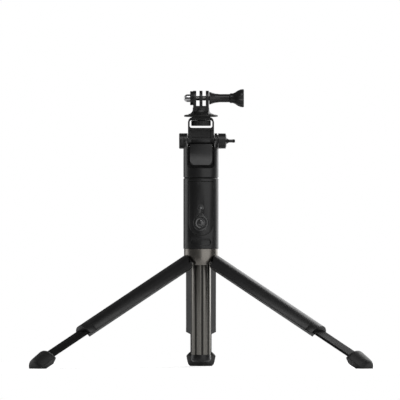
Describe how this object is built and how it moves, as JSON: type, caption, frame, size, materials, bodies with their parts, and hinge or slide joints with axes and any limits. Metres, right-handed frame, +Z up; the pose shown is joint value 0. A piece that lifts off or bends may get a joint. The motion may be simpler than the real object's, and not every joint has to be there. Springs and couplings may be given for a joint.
{
  "type": "selfie stick",
  "caption": "Telescopic selfie stick whose lower grip opens into tripod legs, with a detachable shutter remote, tilting head and action-camera fork.",
  "frame": {"origin": "on the floor under the pole's axis, the point the three feet stand round", "axes": "+Z up along the pole, +X towards the thumb screw and the tilt knob, -Y the side that carries the remote; one leg points to +Y"},
  "size_m": [0.343, 0.3005, 0.2787],
  "materials": {
    "black_plastic": "fine satin grain",
    "leg_plastic": "fine satin grain",
    "gun_metal": "brushed, dark anodised",
    "bar_metal": "black anodised",
    "stage_metal": "brushed, anodised",
    "rubber": "moulded",
    "nylon": "self-coloured",
    "steel": "zinc plated",
    "bright_nut": "polished",
    "brass": "machined",
    "trim": "satin paint",
    "button": "moulded",
    "board": "solder mask",
    "lamp": "clear"
  },
  "bodies": {
    "handle": {"outer_tube": "gun_metal", "tube_end_cap": "black_plastic", "outer_mouth_bush": "nylon", "handle_front_shell": "black_plastic", "handle_rear_shell": "black_plastic", "handle_screws": "steel", "leg_collar": "gun_metal", "leg_hub": "black_plastic", "leg_pins": "steel"},
    "stage_1": {"pole_stage_1": "stage_metal", "stage_1_foot_bush": "nylon", "stage_1_mouth_bush": "nylon"},
    "stage_2": {"pole_stage_2": "stage_metal", "stage_2_foot_bush": "nylon", "stage_2_mouth_bush": "nylon"},
    "stage_3": {"pole_stage_3": "stage_metal", "stage_3_foot_bush": "nylon", "stage_3_mouth_bush": "nylon"},
    "head": {"pole_stage_4": "stage_metal", "stage_4_foot_bush": "nylon", "head_yoke": "black_plastic", "yoke_inlay": "black_plastic", "tilt_bolt": "steel", "tilt_bolt_cap": "black_plastic", "tilt_washer": "nylon"},
    "arm": {"tilt_arm": "black_plastic", "tilt_bush": "nylon"},
    "knob": {"tilt_knob": "black_plastic", "knob_nut": "steel"},
    "wheel": {"clamp_wheel": "black_plastic", "camera_stud": "steel"},
    "fork": {"rubber_pad": "rubber", "camera_fork": "black_plastic", "fork_insert": "brass", "dome_nut": "bright_nut"},
    "thumb_screw": {"thumb_screw_shank": "steel", "thumb_screw_grip": "black_plastic"},
    "remote": {"remote_front_case": "black_plastic", "remote_back_case": "black_plastic", "remote_trim": "trim", "remote_board": "board", "remote_cell": "steel", "remote_switch": "nylon", "remote_lamp": "lamp"},
    "button": {"shutter_button": "button"},
    "leg_left": {"leg_shell_left": "leg_plastic", "leg_tip_left": "leg_plastic"},
    "foot_left": {"leg_bar_left": "bar_metal", "bar_stop_left": "nylon", "foot_left": "rubber"},
    "leg_right": {"leg_shell_right": "leg_plastic", "leg_tip_right": "leg_plastic"},
    "foot_right": {"leg_bar_right": "bar_metal", "bar_stop_right": "nylon", "foot_right": "rubber"},
    "leg_rear": {"leg_shell_rear": "leg_plastic", "leg_tip_rear": "leg_plastic"},
    "foot_rear": {"leg_bar_rear": "bar_metal", "bar_stop_rear": "nylon", "foot_rear": "rubber"}
  },
  "joints": [
    {"name": "pole_slide_1", "type": "slide", "parent": "handle", "child": "stage_1", "axis": [0, 0, 1], "range_m": [0, 0.15]},
    {"name": "pole_slide_2", "type": "slide", "parent": "stage_1", "child": "stage_2", "axis": [0, 0, 1], "range_m": [0, 0.15]},
    {"name": "pole_slide_3", "type": "slide", "parent": "stage_2", "child": "stage_3", "axis": [0, 0, 1], "range_m": [0, 0.15]},
    {"name": "pole_slide_4", "type": "slide", "parent": "stage_3", "child": "head", "axis": [0, 0, 1], "range_m": [0, 0.15]},
    {"name": "head_tilt", "type": "hinge", "parent": "head", "child": "arm", "pos_m": [0, 0, 0.2268], "axis": [1, 0, 0], "range_deg": [-90, 65]},
    {"name": "tilt_knob_turn", "type": "hinge", "parent": "head", "child": "knob", "pos_m": [0, 0, 0.2268], "axis": [1, 0, 0], "continuous": true},
    {"name": "clamp_wheel_turn", "type": "hinge", "parent": "arm", "child": "wheel", "pos_m": [0, 0, 0.2268], "axis": [0, 0, 1], "continuous": true},
    {"name": "mount_pan", "type": "hinge", "parent": "arm", "child": "fork", "pos_m": [0, 0, 0.2268], "axis": [0, 0, 1], "continuous": true},
    {"name": "thumb_screw_turn", "type": "hinge", "parent": "fork", "child": "thumb_screw", "pos_m": [0, 0, 0.2696], "axis": [1, 0, 0], "continuous": true},
    {"name": "remote_release", "type": "slide", "parent": "handle", "child": "remote", "axis": [0, -1, 0], "range_m": [0, 0.025]},
    {"name": "shutter_press", "type": "slide", "parent": "remote", "child": "button", "axis": [0, 1, 0], "range_m": [0, 0.0006]},
    {"name": "leg_fold_left", "type": "hinge", "parent": "handle", "child": "leg_left", "pos_m": [-0.01195, -0.0069, 0.1104], "axis": [0.5, -0.866, 0], "range_deg": [0, 60]},
    {"name": "leg_extend_left", "type": "slide", "parent": "leg_left", "child": "foot_left", "axis": [-0.75, -0.433, -0.5], "range_m": [-0.0425, 0]},
    {"name": "leg_fold_right", "type": "hinge", "parent": "handle", "child": "leg_right", "pos_m": [0.01195, -0.0069, 0.1104], "axis": [0.5, 0.866, 0], "range_deg": [0, 60]},
    {"name": "leg_extend_right", "type": "slide", "parent": "leg_right", "child": "foot_right", "axis": [0.75, -0.433, -0.5], "range_m": [-0.0425, 0]},
    {"name": "leg_fold_rear", "type": "hinge", "parent": "handle", "child": "leg_rear", "pos_m": [0, 0.0138, 0.1104], "axis": [-1, 0, 0], "range_deg": [0, 60]},
    {"name": "leg_extend_rear", "type": "slide", "parent": "leg_rear", "child": "foot_rear", "axis": [0, 0.866, -0.5], "range_m": [-0.0425, 0]}
  ]
}
